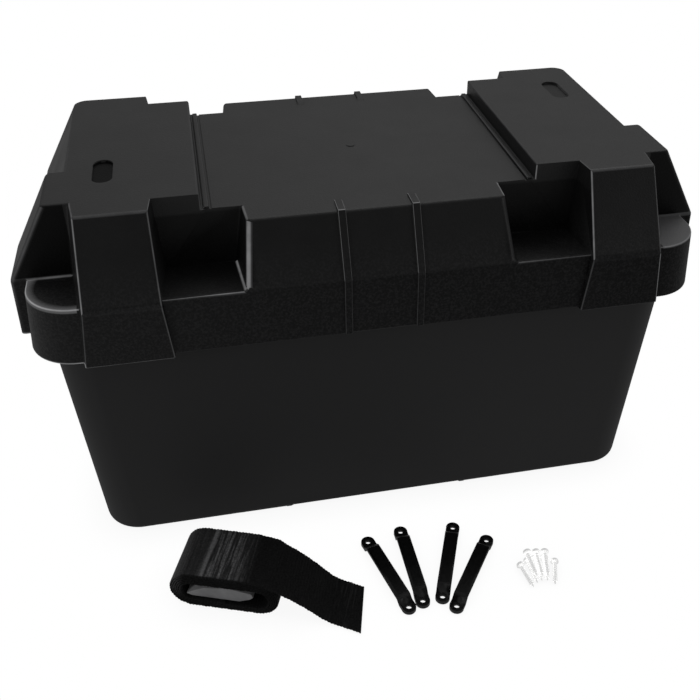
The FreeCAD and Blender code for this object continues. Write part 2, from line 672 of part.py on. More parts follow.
# ---------------------------------------------------------------- screws
SCREW_L = 19.0
SCREW_HEAD_R = 2.9
SCREW_SHANK_R = 1.6
SCREW_CORE_R = SCREW_SHANK_R - 0.35
SCREW_PITCH = 1.45
LOW_HEAD_Z = SCREW_HEAD_R + 0.05
LOW_HEAD_Y = (-181.6, -178.6, -177.6, -178.6, -183.2)
UPPER_LIFT = 5.6            # height of the upper screws' heads above the lower ones


def screw():
    """Pan head tapping screw on +X: head at x < 0, point at x = SCREW_L."""
    head, core = SCREW_HEAD_R, SCREW_CORE_R
    # profile as (radius, x)
    rx = [(0, -2.4), (head - 1.3, -2.4), (head - 0.4, -1.8), (head, -0.7), (head, 0), (core, 0)]
    x = 0.6
    while x < SCREW_L - 3.4:
        rx += [(core, x), (SCREW_SHANK_R, x + 0.7), (core, x + 1.4)]
        x += SCREW_PITCH
    rx += [(core, SCREW_L - 3.2), (0, SCREW_L)]
    profile = polygon_face([V(x, r, 0) for r, x in rx])
    body = profile.revolve(V(0, 0, 0), V(1, 0, 0), 360)
    cross = fuse([block(-2.6, -1.2, -1.9, 1.9, -0.35, 0.35),
                  block(-2.6, -1.2, -0.35, 0.35, -1.9, 1.9)])
    return body.cut(cross)


def lay(shape, head, tip):
    """Copy of a screw with its head's underside at head and its point towards tip."""
    direction = V(*tip).sub(V(*head))
    direction.normalize()
    placement = FreeCAD.Placement(V(*head), FreeCAD.Rotation(V(1, 0, 0), direction))
    laid = shape.copy()
    laid.transformShape(placement.toMatrix())
    return laid


def mounting_screws():
    """Five screws side by side on the table and three on top of them."""
    spots = []
    for k, y in enumerate(LOW_HEAD_Y):
        spots.append(((83.6 + 6.0 * k, y, LOW_HEAD_Z), (86.6 + 3.7 * k, y - 18.6, 1.45)))
    for k in range(3):
        spots.append(((89.6 + 6.0 * k, -176.0 - 1.0 * k, LOW_HEAD_Z + UPPER_LIFT),
                      (90.4 + 3.9 * k, -194.6, 5.6)))
    one = screw()
    return Part.Compound([lay(one, head, tip) for head, tip in spots])


# ---------------------------------------------------------------- pieces
export("base_tub", base_tub())
export("lid_shell", lid_shell())
export("battery_case", battery_case())
export("battery_cover", battery_cover())

stacks = plate_stacks()
export("positive_plates", Part.Compound(stacks["P"]))
export("negative_plates", Part.Compound(stacks["N"]))
export("plate_separators", Part.Compound(stacks["S"]))
export("cell_links", cell_links())

for name, side, cell, stud_r in TERMINALS:
    stud_x = side * STUD_X
    export(name + "_terminal", terminal(side, cell, stud_r))
    export(name + "_stud", stud(stud_x, stud_r))
    washer = ring(stud_r + 4.2, stud_r + 0.25, WASHER_T, stud_x, POST_Y, PAD_TOP)
    export(name + "_washer", washer)
    export(name + "_wing_nut", wing_nut(stud_x, stud_r))

export("vent_cap_left", vent_cap((0, 1, 2)))
export("vent_cap_right", vent_cap((3, 4, 5)))
export("vent_seals", vent_seals())
export("strap_webbing", strap_webbing())
export("strap_buckle", strap_buckle())

loop = tie_down_loop()
for number, ((x, y), (along_x, along_y)) in enumerate(LOOPS, 1):
    placed = loop.copy()
    turn_z(placed, math.degrees(math.atan2(along_y, along_x)))
    placed.translate(V(x, y, 0))
    export("tie_down_loop_%d" % number, placed)

export("mounting_screws", mounting_screws())
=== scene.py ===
"""Battery box: a moulded tub and lid around a battery, with a rolled strap and its buckle
and four tie-down loops lying beside it.

Z points up and the floor is at z = 0. The camera looks from the front, which is -Y; left is -X.
Shapes are given in millimetres and scaled by MM; materials and stage are in metres.
"""
import json
import math
from functools import reduce

import bmesh
import bpy
import numpy as np
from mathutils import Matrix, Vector
from mathutils.bvhtree import BVHTree
from mathutils.kdtree import KDTree

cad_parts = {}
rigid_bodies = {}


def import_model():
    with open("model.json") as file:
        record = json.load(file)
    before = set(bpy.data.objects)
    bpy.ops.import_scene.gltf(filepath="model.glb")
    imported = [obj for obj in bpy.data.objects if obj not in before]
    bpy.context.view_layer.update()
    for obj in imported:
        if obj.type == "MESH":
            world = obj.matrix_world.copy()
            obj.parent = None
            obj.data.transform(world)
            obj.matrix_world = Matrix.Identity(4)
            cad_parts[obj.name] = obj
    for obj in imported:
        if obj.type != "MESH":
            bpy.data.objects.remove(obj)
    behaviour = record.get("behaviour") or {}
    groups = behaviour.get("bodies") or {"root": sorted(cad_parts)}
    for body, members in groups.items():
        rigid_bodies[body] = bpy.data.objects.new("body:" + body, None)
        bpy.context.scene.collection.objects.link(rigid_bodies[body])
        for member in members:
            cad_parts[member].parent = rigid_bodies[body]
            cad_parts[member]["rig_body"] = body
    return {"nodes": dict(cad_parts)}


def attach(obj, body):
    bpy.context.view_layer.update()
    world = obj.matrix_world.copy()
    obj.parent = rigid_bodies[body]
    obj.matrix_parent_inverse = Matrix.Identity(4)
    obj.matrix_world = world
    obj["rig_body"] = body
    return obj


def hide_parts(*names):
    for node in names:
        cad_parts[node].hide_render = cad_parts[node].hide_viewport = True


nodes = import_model()["nodes"]
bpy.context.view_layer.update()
scene = bpy.context.scene
MM = 0.001

# Lid landmarks, mm
LEDGE_Z = 207.5         # ledge that runs across the front
WALL_Y = -74.8          # wall behind the ledge's two ends
STEP_Z = 245.2          # step below the lid's top
MIDDLE_X = 22.9         # upright edges either side of the middle
# painted highlight: EDGE_GLOW is the white emission painted on edges that catch the light
EDGE_GLOW = 0.15        # glow of an edge that catches the light in full

# Rolled strap, mm
ROLL_CENTRE = (-112.4, -154.6, 0.0)
ROLL_ANGLE = math.radians(-20.82)
ALONG = Vector((math.cos(ROLL_ANGLE), math.sin(ROLL_ANGLE), 0.0))     # towards the free end
ACROSS = Vector((-math.sin(ROLL_ANGLE), math.cos(ROLL_ANGLE), 0.0))   # towards the back


# ------------------------------------------------------------------ node graphs
class Graph:
    """Builder for a shader node tree; a value is a socket, a number or a tuple."""

    def __init__(self, tree):
        self.tree = tree

    def node(self, kind, **props):
        made = self.tree.nodes.new(kind)
        for key, value in props.items():
            setattr(made, key, value)
        return made

    def link(self, output, socket):
        self.tree.links.new(output, socket)

    def put(self, socket, value):
        if isinstance(value, bpy.types.NodeSocket):
            self.link(value, socket)
        else:
            socket.default_value = value

    def calc(self, operation, *values):
        made = self.node("ShaderNodeMath", operation=operation)
        for socket, value in zip(made.inputs, values):
            self.put(socket, value)
        return made.outputs[0]

    def times(self, *values):
        return reduce(lambda a, b: self.calc("MULTIPLY", a, b), values)

    def plus(self, a, b):
        return self.calc("ADD", a, b)

    def ramp(self, value, start, end, low=0.0, high=1.0, kind="LINEAR"):
        """Clamped change from low at start to high at end."""
        made = self.node("ShaderNodeMapRange", interpolation_type=kind)
        for socket, given in zip(made.inputs, (value, start, end, low, high)):
            self.put(socket, given)
        return made.outputs[0]

    def split(self, vector):
        made = self.node("ShaderNodeSeparateXYZ")
        self.link(vector, made.inputs[0])
        return made.outputs


class Material(Graph):
    """An empty material with its output node."""

    def __init__(self, name):
        self.data = bpy.data.materials.new(name)
        self.data.use_nodes = True
        super().__init__(self.data.node_tree)
        self.tree.nodes.clear()
        self.out = self.node("ShaderNodeOutputMaterial")


class Surface(Material):
    """A material around one Principled shader, textured in object space."""

    def __init__(self, name):
        super().__init__(name)
        self.shader = self.node("ShaderNodeBsdfPrincipled")
        self.link(self.shader.outputs[0], self.out.inputs[0])
        self.place = self.node("ShaderNodeTexCoord").outputs["Object"]

    def calc(self, operation, a, b=0.0):
        return super().calc(operation, a, b, 0.0)

    def above(self, value, limit):
        return self.calc("GREATER_THAN", value, limit)

    def below(self, value, limit):
        return self.calc("LESS_THAN", value, limit)

    def distance(self, value, centre):
        return self.calc("ABSOLUTE", self.calc("SUBTRACT", value, centre))

    def dot(self, a, b):
        made = self.node("ShaderNodeVectorMath", operation="DOT_PRODUCT")
        self.put(made.inputs[0], a)
        self.put(made.inputs[1], b)
        return made.outputs["Value"]

    def noise(self, scale, detail=4.0, rough=0.5, vector=None, stretch=None):
        source = vector or self.place
        if stretch:
            mapping = self.node("ShaderNodeMapping")
            mapping.inputs["Scale"].default_value = stretch
            self.link(source, mapping.inputs["Vector"])
            source = mapping.outputs[0]
        made = self.node("ShaderNodeTexNoise")
        made.inputs["Scale"].default_value = scale
        made.inputs["Detail"].default_value = detail
        made.inputs["Roughness"].default_value = rough
        self.link(source, made.inputs["Vector"])
        return made.outputs[0]

    def voronoi(self, scale):
        made = self.node("ShaderNodeTexVoronoi")
        made.inputs["Scale"].default_value = scale
        self.link(self.place, made.inputs["Vector"])
        return made.outputs["Distance"]

    def mix(self, factor, a, b):
        made = self.node("ShaderNodeMix", data_type="RGBA")
        self.put(made.inputs[0], factor)
        for socket, colour in ((made.inputs[6], a), (made.inputs[7], b)):
            self.put(socket, (*colour, 1) if isinstance(colour, tuple) else colour)
        return made.outputs[2]

    def bump(self, height, strength, depth):
        made = self.node("ShaderNodeBump")
        made.inputs["Strength"].default_value = strength
        made.inputs["Distance"].default_value = depth
        self.link(height, made.inputs["Height"])
        self.link(made.outputs[0], self.shader.inputs["Normal"])

    def set(self, **inputs):
        for key, value in inputs.items():
            self.put(self.shader.inputs[key.replace("_", " ")], value)


def grey(value):
    return (value, value, value * 1.02)


# ------------------------------------------------------------------ materials
def lid_painted_shades(mat, x, y, z):
    """Painted shade: parts of the lid that hold less light, darkened in colour, as (mask,
    colour).
    """
    # painted shade on the walls above the two ledge ends
    on_wall = mat.below(mat.calc("ABSOLUTE", mat.plus(y, -WALL_Y * MM)), 0.0006)
    walls = mat.times(mat.above(mat.calc("ABSOLUTE", x), 0.184),
                      mat.times(mat.above(z, 0.209), on_wall), 0.70)
    # painted shade in the bay on each side at the front
    side = mat.calc("ABSOLUTE", x)
    bays = mat.times(mat.ramp(side, start=0.0765, end=0.0800),
                     mat.ramp(side, start=0.1375, end=0.1335),
                     mat.times(mat.ramp(y, start=-0.1135, end=-0.1115),
                               mat.ramp(y, start=-0.0738, end=-0.0750)),
                     mat.ramp(z, start=0.2444, end=0.2425), 0.42)
    painted_shades = [(walls, grey(0.004)), (bays, grey(0.003))]
    # painted shade in the shallow oval pockets in the top: x, y, darkness
    for pocket_x, pocket_y, depth in ((-0.1625, -0.0331, 0.84), (0.1639, 0.0461, 0.42)):
        inside = mat.times(mat.below(mat.distance(x, pocket_x), 0.0063),
                           mat.below(mat.distance(y, pocket_y), 0.0168),
                           mat.below(z, 0.2549), mat.above(z, 0.2535))
        painted_shades.append((mat.times(inside, depth), grey(0.002)))
    return painted_shades


def lid_painted_glint(mat):
    """Painted highlight on the edges: their catch, broken up by noise and strongest where the
    face meets its aim.
    """
    catch = mat.node("ShaderNodeAttribute", attribute_name="catch").outputs["Fac"]
    aim = mat.node("ShaderNodeAttribute", attribute_name="catch_aim").outputs["Vector"]
    facing = mat.dot(mat.node("ShaderNodeNewGeometry").outputs["Normal"], aim)
    patchy = mat.ramp(mat.noise(scale=90.0, detail=3.0, rough=0.6),
                      start=0.25, end=0.75, low=0.65, high=1.25)
    return mat.times(catch, patchy, mat.ramp(facing, start=0.86, end=0.99, low=0.10))


def lid_rim_highlight(mat, x, y, z):
    """Painted highlight along the rounded outer rim of the left end of the ledge."""
    radius = mat.calc("SQRT", mat.plus(mat.calc("POWER", mat.plus(x, 0.184), 2.0),
                                       mat.calc("POWER", mat.plus(y, 0.0845), 2.0)))
    return mat.times(mat.ramp(radius, start=0.0245, end=0.0292),
                     mat.ramp(mat.distance(z, 0.2070), start=0.0022, end=0.0014),
                     mat.times(mat.below(x, -0.1825), mat.below(y, -0.0755)))


def lid_hem_highlight(mat, x, y, z):
    """Painted highlight along the lowest edge of the left corner and of the left ear."""
    ear = mat.times(mat.below(x, -0.2176), 0.7)
    return mat.times(mat.ramp(z, start=0.1706, end=0.1698), mat.below(x, -0.1838),
                     mat.calc("MAXIMUM", mat.below(y, -0.0840), ear), mat.below(y, -0.020))


def lid_material():
    mat = Surface("lid_moulded_black")
    x, y, z = mat.split(mat.place)
    cloud = mat.noise(scale=26.0, detail=5.0, rough=0.6)
    fine = mat.noise(scale=420.0, detail=3.0, rough=0.6)
    grain = mat.noise(scale=640.0, detail=3.0, rough=0.65)
    colour = mat.mix(mat.ramp(cloud, start=0.3, end=0.7), grey(0.0115), grey(0.0165))
    speck = mat.times(mat.ramp(fine, start=0.55, end=0.8), 0.3)
    colour = mat.mix(speck, colour, grey(0.030))
    # the lower band of the lid has a coarser grain than its top
    low_band = mat.ramp(z, start=0.232, end=0.200)
    coarse = mat.times(mat.ramp(grain, start=0.44, end=0.66), low_band, 0.85)
    colour = mat.mix(coarse, colour, grey(0.052))
    painted_shades = lid_painted_shades(mat, x, y, z)
    # painted shade: the walls, bays and pockets are darkened in colour
    for mask, dark in painted_shades:
        colour = mat.mix(mask, colour, dark)
    # painted light: the right end of the ledge lies open to the light, so its colour is lightened
    on_ledge = mat.ramp(mat.distance(z, LEDGE_Z * MM), start=0.0016, end=0.0010)
    painted_light_end = mat.times(mat.above(x, 0.183), on_ledge)
    colour = mat.mix(mat.times(painted_light_end, 0.85), colour, grey(0.20))
    edge_glint = lid_painted_glint(mat)
    # the gloss fades below the ledge, more to the right, and in the shades
    dull = mat.times(mat.ramp(z, start=0.2085, end=0.2065),
                     mat.ramp(x, start=-0.21, end=0.21, low=0.48, high=0.84))
    for mask, _ in painted_shades:
        dull = mat.calc("MAXIMUM", dull, mask)
    # painted highlights along the ledge's left rim and the lower hem
    highlight_lines = mat.plus(mat.times(lid_rim_highlight(mat, x, y, z), 0.45),
                     mat.times(lid_hem_highlight(mat, x, y, z), 0.75))
    # painted highlight: the edges' glint lightens the colour and, with the rim and hem lines,
    # glows white
    mat.set(Base_Color=mat.mix(mat.times(edge_glint, 0.4), colour, grey(0.12)),
            Roughness=mat.ramp(cloud, start=0.3, end=0.7, low=0.44, high=0.52),
            Specular_IOR_Level=mat.times(0.5, mat.calc("SUBTRACT", 1.0, dull)),
            Emission_Color=(*grey(1.0), 1),
            Emission_Strength=mat.times(mat.plus(edge_glint, highlight_lines), EDGE_GLOW))
    pits = mat.plus(mat.voronoi(scale=760.0), mat.times(mat.noise(scale=1500.0, detail=2.0), 0.5))
    height = mat.plus(pits, mat.times(grain, low_band, 1.6))
    mat.bump(height, strength=0.35, depth=0.00022)
    return mat.data


def tub_material():
    mat = Surface("tub_smooth_black")
    shade = 0.038
    cloud = mat.noise(scale=9.0, detail=3.0)
    mat.set(Base_Color=mat.mix(cloud, grey(shade * 0.95), grey(shade * 1.05)), Roughness=0.66)
    mat.bump(mat.noise(scale=300.0, detail=2.0), strength=0.05, depth=0.0002)
    return mat.data


def web_material():
    """Black webbing with painted sheen: the top of the roll, where the light falls, is lightened
    with pale threads across its width, and the left end and the free end get lighter patches too.
    """
    mat = Surface("webbing_black")
    offset = mat.node("ShaderNodeVectorMath", operation="SUBTRACT")
    mat.link(mat.place, offset.inputs[0])
    offset.inputs[1].default_value = [value * MM for value in ROLL_CENTRE]
    along, across, z = [mat.dot(offset.outputs[0], tuple(axis))
                        for axis in (ALONG, ACROSS, (0.0, 0.0, 1.0))]
    # noise drawn out across the strap
    drawn = mat.node("ShaderNodeCombineXYZ")
    for socket, value in zip(drawn.inputs, (along, mat.times(across, 0.055), mat.times(z, 0.3))):
        mat.put(socket, value)
    streak = mat.noise(scale=470.0, detail=3.0, rough=0.7, vector=drawn.outputs[0])
    wide = mat.noise(scale=150.0, detail=2.0, rough=0.6, vector=drawn.outputs[0])
    weave = mat.noise(scale=900.0, detail=2.0, rough=0.7)
    # masks of the painted sheen: the top, its pale threads and a band, the left end and the free
    # end's tip
    top = mat.times(mat.ramp(z, start=0.022, end=0.0270),
                    mat.times(mat.ramp(along, start=-0.034, end=-0.028),
                              mat.ramp(along, start=0.018, end=0.008)),
                    mat.ramp(across, start=-0.0222, end=-0.0212))
    threads = mat.plus(mat.times(streak, 0.8), mat.times(wide, 0.2))
    stripe = mat.times(mat.ramp(threads, start=0.43, end=0.60),
                       mat.times(top, mat.ramp(along, start=-0.018, end=-0.011, low=0.15)))
    band = mat.times(mat.ramp(mat.distance(along, -0.0145), start=0.0017, end=0.0006), top)
    left = mat.times(mat.ramp(along, start=-0.027, end=-0.034),
                     mat.ramp(z, start=0.006, end=0.016))
    tip = mat.times(mat.ramp(along, start=0.066, end=0.072),
                    mat.times(mat.ramp(along, start=0.087, end=0.083),
                              mat.ramp(streak, start=0.52, end=0.62)))
    colour = mat.mix(mat.ramp(weave, start=0.36, end=0.64), grey(0.004), grey(0.018))
    # mask, then the weave's range and least and greatest share, then the grey of the painted
    # sheen
    for mask, start, end, low, high, shade in ((top, 0.35, 0.65, 0.5, 1.0, 0.050),
                                               (left, 0.3, 0.7, 0.35, 0.9, 0.23),
                                               (stripe, 0.36, 0.62, 0.3, 1.0, 0.33),
                                               (band, 0.36, 0.62, 0.55, 0.95, 0.32)):
        share = mat.times(mask, mat.ramp(weave, start, end, low, high))
        colour = mat.mix(share, colour, grey(shade))
    # painted sheen in streaks on the free end's tip
    colour = mat.mix(mat.times(tip, 0.6), colour, grey(0.05))
    mat.set(Base_Color=colour, Roughness=0.78, Specular_IOR_Level=0.3)
    fibres = mat.times(mat.noise(scale=2600.0, detail=2.0, rough=0.6), 0.4)
    mat.bump(mat.plus(weave, fibres), strength=0.7, depth=0.0003)
    return mat.data


def plain(name, colour, rough, metal=0.0, vary=0.2, scale=60.0, bump=0.0, bump_scale=900.0,
          stretch=None, painted_glow=0.0):
    """One colour that varies a little with a noise, as does the roughness."""
    mat = Surface(name)
    noise = mat.noise(scale=scale, rough=0.55, stretch=stretch)
    dark, light = [tuple(v * share for v in colour) for share in (1 - vary, 1 + vary)]
    mat.set(Base_Color=mat.mix(mat.ramp(noise, start=0.3, end=0.7), dark, light),
            Roughness=mat.ramp(noise, start=0.3, end=0.7, low=rough * 0.88, high=rough * 1.12),
            Metallic=metal, Specular_IOR_Level=0.5)
    # painted light: the part emits white light of this strength, which it has under no lamp
    if painted_glow:
        mat.set(Emission_Color=(1, 1, 1, 1), Emission_Strength=painted_glow)
    if bump:
        mat.bump(mat.noise(scale=bump_scale, detail=3.0, rough=0.6), strength=bump, depth=0.0002)
    return mat.data


MATERIALS = {
    "lid": lid_material(),
    "tub": tub_material(),
    "web": web_material(),
    "buckle": plain("buckle_grey", grey(0.62), rough=0.38, bump=0.15),
    "loop": plain("loop_black", grey(0.006), rough=0.4, vary=0.4, scale=420.0,
                  bump=0.45, bump_scale=700.0),
    # painted light: the screws glow white so they look as bright as lit zinc plate
    "zinc": plain("zinc_plate_painted_glow", (0.86, 0.86, 0.85), rough=0.30, metal=0.35, vary=0.12,
                  scale=700.0, bump=0.1, painted_glow=0.45),
    "case": plain("case_charcoal", grey(0.028), rough=0.45, bump=0.2, bump_scale=1200.0),
    "cover": plain("cover_charcoal", grey(0.036), rough=0.42, bump=0.2, bump_scale=1200.0),
    "vent": plain("vent_black", grey(0.018), rough=0.4, bump=0.2, bump_scale=1200.0),
    "rubber": plain("seal_rubber", grey(0.02), rough=0.75, bump=0.2),
    "oxide": plain("plate_paste", (0.12, 0.05, 0.03), rough=0.85, vary=0.3, scale=300.0,
                   bump=0.5),
    "lead": plain("cast_lead", (0.30, 0.31, 0.33), rough=0.5, metal=0.9, vary=0.18,
                  scale=180.0, bump=0.35, bump_scale=500.0),
    "sheet": plain("separator_sheet", (0.62, 0.61, 0.57), rough=0.8, vary=0.06, bump=0.2),
    "steel": plain("stainless", (0.60, 0.60, 0.61), rough=0.22, metal=1.0, vary=0.1,
                   scale=200.0, bump=0.08, stretch=(1, 1, 12)),
}
# the tie-down loops use "loop" and every node not named here is steel
NODE_MATERIALS = {
    "lid_shell": "lid", "base_tub": "tub", "strap_webbing": "web", "strap_buckle": "buckle",
    "mounting_screws": "zinc", "battery_case": "case", "battery_cover": "cover",
    "vent_cap_left": "vent", "vent_cap_right": "vent", "vent_seals": "rubber",
    "positive_plates": "oxide", "negative_plates": "lead", "plate_separators": "sheet",
    "cell_links": "lead", "positive_terminal": "lead", "negative_terminal": "lead",
}
for node_name, cad_object in nodes.items():
    fallback = "loop" if node_name.startswith("tie_down") else "steel"
    cad_object.data.materials.clear()
    cad_object.data.materials.append(MATERIALS[NODE_MATERIALS.get(node_name, fallback)])


# ------------------------------------------------------------------ rounding of CAD nodes
LEAST_WIDTH = 0.14 * MM     # an edge with less room than this stays crisp
ROOM_SHARE = 0.36           # share of the gap to a neighbour that a bevel may take
LENGTH_SHARE = 0.32         # share of its own length that a bevel may take


def segment_gap(start, end, others):
    """Smallest distance from segment start-end to the segments in others (n x 6, mm)."""
    t = np.linspace(0.04, 0.96, 7)[:, None]
    samples = start[None, :] * (1 - t) + end[None, :] * t
    origin, span = others[:, :3], others[:, 3:] - others[:, :3]
    offset = samples[:, None, :] - origin[None, :, :]
    length2 = np.maximum((span * span).sum(1), 1e-9)
    u = np.clip((offset * span[None]).sum(2) / length2[None], 0, 1)
    return np.linalg.norm(offset - u[..., None] * span[None], axis=2).min()


def joined(mesh):
    """A bmesh of the CAD mesh with doubles merged and flat faces joined up."""
    bm = bmesh.new()
    bm.from_mesh(mesh)
    bmesh.ops.remove_doubles(bm, verts=bm.verts, dist=2e-6)
    bmesh.ops.dissolve_limit(bm, angle_limit=math.radians(0.6), use_dissolve_boundaries=False,
                             verts=bm.verts, edges=bm.edges)
    bm.normal_update()
    bm.verts.index_update()
    bm.edges.index_update()
    return bm


def room_for(edge, width, sharp, xyz):
    """The given width, cut down to what the edge's length and neighbours allow."""
    start, end = (xyz[v.index] for v in edge.verts)
    mine = {v.index for v in edge.verts}
    span = end - start
    length = float(np.linalg.norm(span))
    for face in edge.link_faces:
        others = [np.concatenate([xyz[v.index] for v in other.verts]) for other in face.edges
                  if other.index in sharp and not mine & {v.index for v in other.verts}]
        if others:
            width = min(width, ROOM_SHARE * segment_gap(start, end, np.array(others)) * MM)
        if len(face.verts) <= 4:
            for vert in face.verts:
                if vert.index in mine:
                    continue
                area = np.linalg.norm(np.cross(span, xyz[vert.index] - start))
                height = area / max(length, 1e-6)
                if height > 0.05:
                    width = min(width, ROOM_SHARE * height * MM)
    return min(width, LENGTH_SHARE * length * MM)


def even_out(bm, layer):
    """Give an edge that runs on smoothly into the next one the same width."""
    for _ in range(16):
        for vert in bm.verts:
            pair = [edge for edge in vert.link_edges if edge[layer] > 0]
            if len(pair) == 2:
                a, b = ((edge.other_vert(vert).co - vert.co).normalized() for edge in pair)
                if a.dot(b) < -0.86:
                    pair[0][layer] = pair[1][layer] = min(pair[0][layer], pair[1][layer])


def bevelled(bm, name, material, width, segments, clamp):
    """An object of the bmesh with bevel modifiers, and its evaluated mesh.

    In the evaluated mesh the bevel strips have material index 1.
    """
    mesh = bpy.data.meshes.new(name)
    bm.to_mesh(mesh)
    obj = bpy.data.objects.new(mesh.name, mesh)
    scene.collection.objects.link(obj)
    for _ in range(2):
        mesh.materials.append(material)
    for face in mesh.polygons:
        face.use_smooth = True
        face.material_index = 0
    mesh.set_sharp_from_angle(angle=math.radians(31))
    bevel = obj.modifiers.new("round", "BEVEL")
    bevel.width = width
    bevel.segments = segments
    bevel.limit_method = "WEIGHT"
    bevel.use_clamp_overlap = clamp
    bevel.material = 1
    weld = obj.modifiers.new("weld", "WELD")
    weld.merge_threshold = 0.002 * MM
    normals = obj.modifiers.new("normals", "WEIGHTED_NORMAL")
    normals.mode = "FACE_AREA"
    normals.weight = 90
    normals.keep_sharp = False
    bpy.context.view_layer.update()
    graph = bpy.context.evaluated_depsgraph_get()
    return obj, bpy.data.meshes.new_from_object(obj.evaluated_get(graph), depsgraph=graph,
                                                preserve_all_data_layers=True)


def astray(shape, tree, width, folds):
    """Vertices of flat faces that left the CAD surface, of strips that face inwards and,
    if folds is set, of folded flat faces."""
    bad = set()
    for face in shape.polygons:
        if face.material_index == 0:
            for i in face.vertices:
                if tree.find_nearest(shape.vertices[i].co)[3] > 0.12 * MM:
                    bad.add(i)
        else:
            hit = tree.find_nearest(face.center)
            inward = face.area > 2e-8 and face.normal.dot(hit[1]) < 0.0
            if hit[3] > 0.6 * width or inward:
                bad.update(face.vertices)
    if folds:
        shape.calc_loop_triangles()
        for tri in shape.loop_triangles:
            face = shape.polygons[tri.polygon_index]
            folded = tri.area > 2e-9 and tri.normal.dot(face.normal) < 0.2
            if face.material_index == 0 and folded:
                bad.update(tri.vertices)
    return bad


def mark_strips(shape, marks, catch):
    """Store on each bevel strip its nearest edge's catch, the strength of its painted highlight,
    and mean normal.
    """
    level = np.zeros(len(shape.polygons), dtype=np.float32)
    aim = np.zeros((len(shape.polygons), 3), dtype=np.float32)
    if catch:
        segments = np.array([mark[0] for mark in marks])
        origin, span = segments[:, :3], segments[:, 3:] - segments[:, :3]
        length2 = np.maximum((span * span).sum(1), 1e-9)
        for face in shape.polygons:
            if face.material_index == 1:
                offset = np.array(face.center) * 1000 - origin
                u = np.clip((offset * span).sum(1) / length2, 0, 1)
                near = int(np.argmin(((offset - u[:, None] * span) ** 2).sum(1)))
                level[face.index], aim[face.index] = marks[near][1:]
    for face in shape.polygons:
        face.material_index = 0
    while len(shape.materials) > 1:
        shape.materials.pop(index=len(shape.materials) - 1)
    shape.attributes.new("catch", "FLOAT", "FACE").data.foreach_set("value", level)
    aims = shape.attributes.new("catch_aim", "FLOAT_VECTOR", "FACE")
    aims.data.foreach_set("vector", aim.ravel())


def rounded(node, name, width, segments=2, angle=25.0, corner=0.0, catch=None, keep=None,
            clamp=False):
    """A copy of a CAD node with its sharp edges rounded as far as their neighbours allow.

    corner is the width for steep convex edges, catch gives an edge's painted highlight (glow),
    keep says which edges stay crisp. Edges whose bevel goes astray are narrowed and the copy is
    made again.
    """
    source = nodes[node]
    bm = joined(source.data)
    layers = bm.edges.layers.float
    layer = layers.get("bevel_weight_edge") or layers.new("bevel_weight_edge")
    limit = math.radians(angle)
    sharp = {}
    for edge in bm.edges:
        faces = edge.link_faces
        if len(faces) == 2 and faces[0].normal.angle(faces[1].normal, 0.0) > limit:
            sharp[edge.index] = edge
    xyz = {vert.index: np.array(vert.co) * 1000 for vert in bm.verts}
    top = max(width, corner)
    marks = []      # end points (mm), catch and mean normal of each rounded edge
    for edge in sharp.values():
        start, end = (xyz[v.index] for v in edge.verts)
        along = (edge.verts[1].co - edge.verts[0].co).normalized()
        normal = (edge.link_faces[0].normal + edge.link_faces[1].normal).normalized()
        steep = corner and edge.is_convex and abs(along.z) > 0.5
        room = room_for(edge, top if steep else width, sharp, xyz)
        middle = (start + end) / 2
        length = float(np.linalg.norm(end - start))
        if room < LEAST_WIDTH or (keep and keep(middle, length, normal)):
            edge[layer] = 0.0
            continue
        edge[layer] = room / top
        painted_glow = catch(middle, normal, along, edge.is_convex) if catch else 0.0
        marks.append((np.concatenate([start, end]), painted_glow, tuple(normal)))
    even_out(bm, layer)

    tree = BVHTree.FromBMesh(bm)
    ends = sorted({v for edge in sharp.values() for v in edge.verts}, key=lambda v: v.index)
    near_end = KDTree(len(ends))
    for i, vert in enumerate(ends):
        near_end.insert(vert.co, i)
    near_end.balance()
    last_turn = 6
    for turn in range(last_turn + 1):
        obj, shape = bevelled(bm, name, source.data.materials[0], top, segments, clamp)
        bad = astray(shape, tree, top, folds=corner > 0)
        if not bad or turn == last_turn:
            break
        for i in {near_end.find(shape.vertices[i].co)[1] for i in bad}:
            for edge in ends[i].link_edges:
                if edge[layer] > 0:
                    edge[layer] = edge[layer] * 0.55 if edge[layer] * top > 0.2 * MM else 0.0
        mesh = obj.data
        bpy.data.objects.remove(obj)
        bpy.data.meshes.remove(mesh)
        bpy.data.meshes.remove(shape)
    bm.free()
    shape.name = obj.data.name + "_mesh"
    obj.modifiers.clear()
    obj.data = shape
    mark_strips(shape, marks, catch)
    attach(obj, source["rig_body"])
    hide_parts(node)


# ------------------------------------------------------------------ lid edges
# Catches are shares of EDGE_GLOW, the painted highlight of the edges; places are in mm.
def upright_catch(x, z, normal):
    """Painted highlight of a steep convex edge at the front; None if it faces neither side."""
    low = z < 200
    if normal.z < -0.3:
        return 0.0
    if abs(abs(x) - MIDDLE_X) < 4:
        if normal.x < 0:
            return 0.16 if low else 0.85
        return 0.12 if low else 0.5
    if normal.x < -0.3:
        if low:
            return 0.16
        if -100 < x < 0:
            return 1.0
        return 0.75 if x > -200 else 0.2
    if normal.x > 0.3:
        if x > 195:
            return 0.0
        if x > 150:
            return 0.7 if low else 0.2
        if low:
            return 0.22
        return 0.26 if x < 0 else 0.06
    return None


def hollow_catch(x, y, z):
    """Painted highlight of a concave edge: only three at the height of the ledge have any."""
    if abs(z - LEDGE_Z) >= 1:
        return 0.0
    if abs(x + 85.5) < 2:
        return 0.75
    if abs(x - 131.9) < 2:
        return 0.95
    return 0.42 if abs(y - WALL_Y) < 1 and x < -184 else 0.0


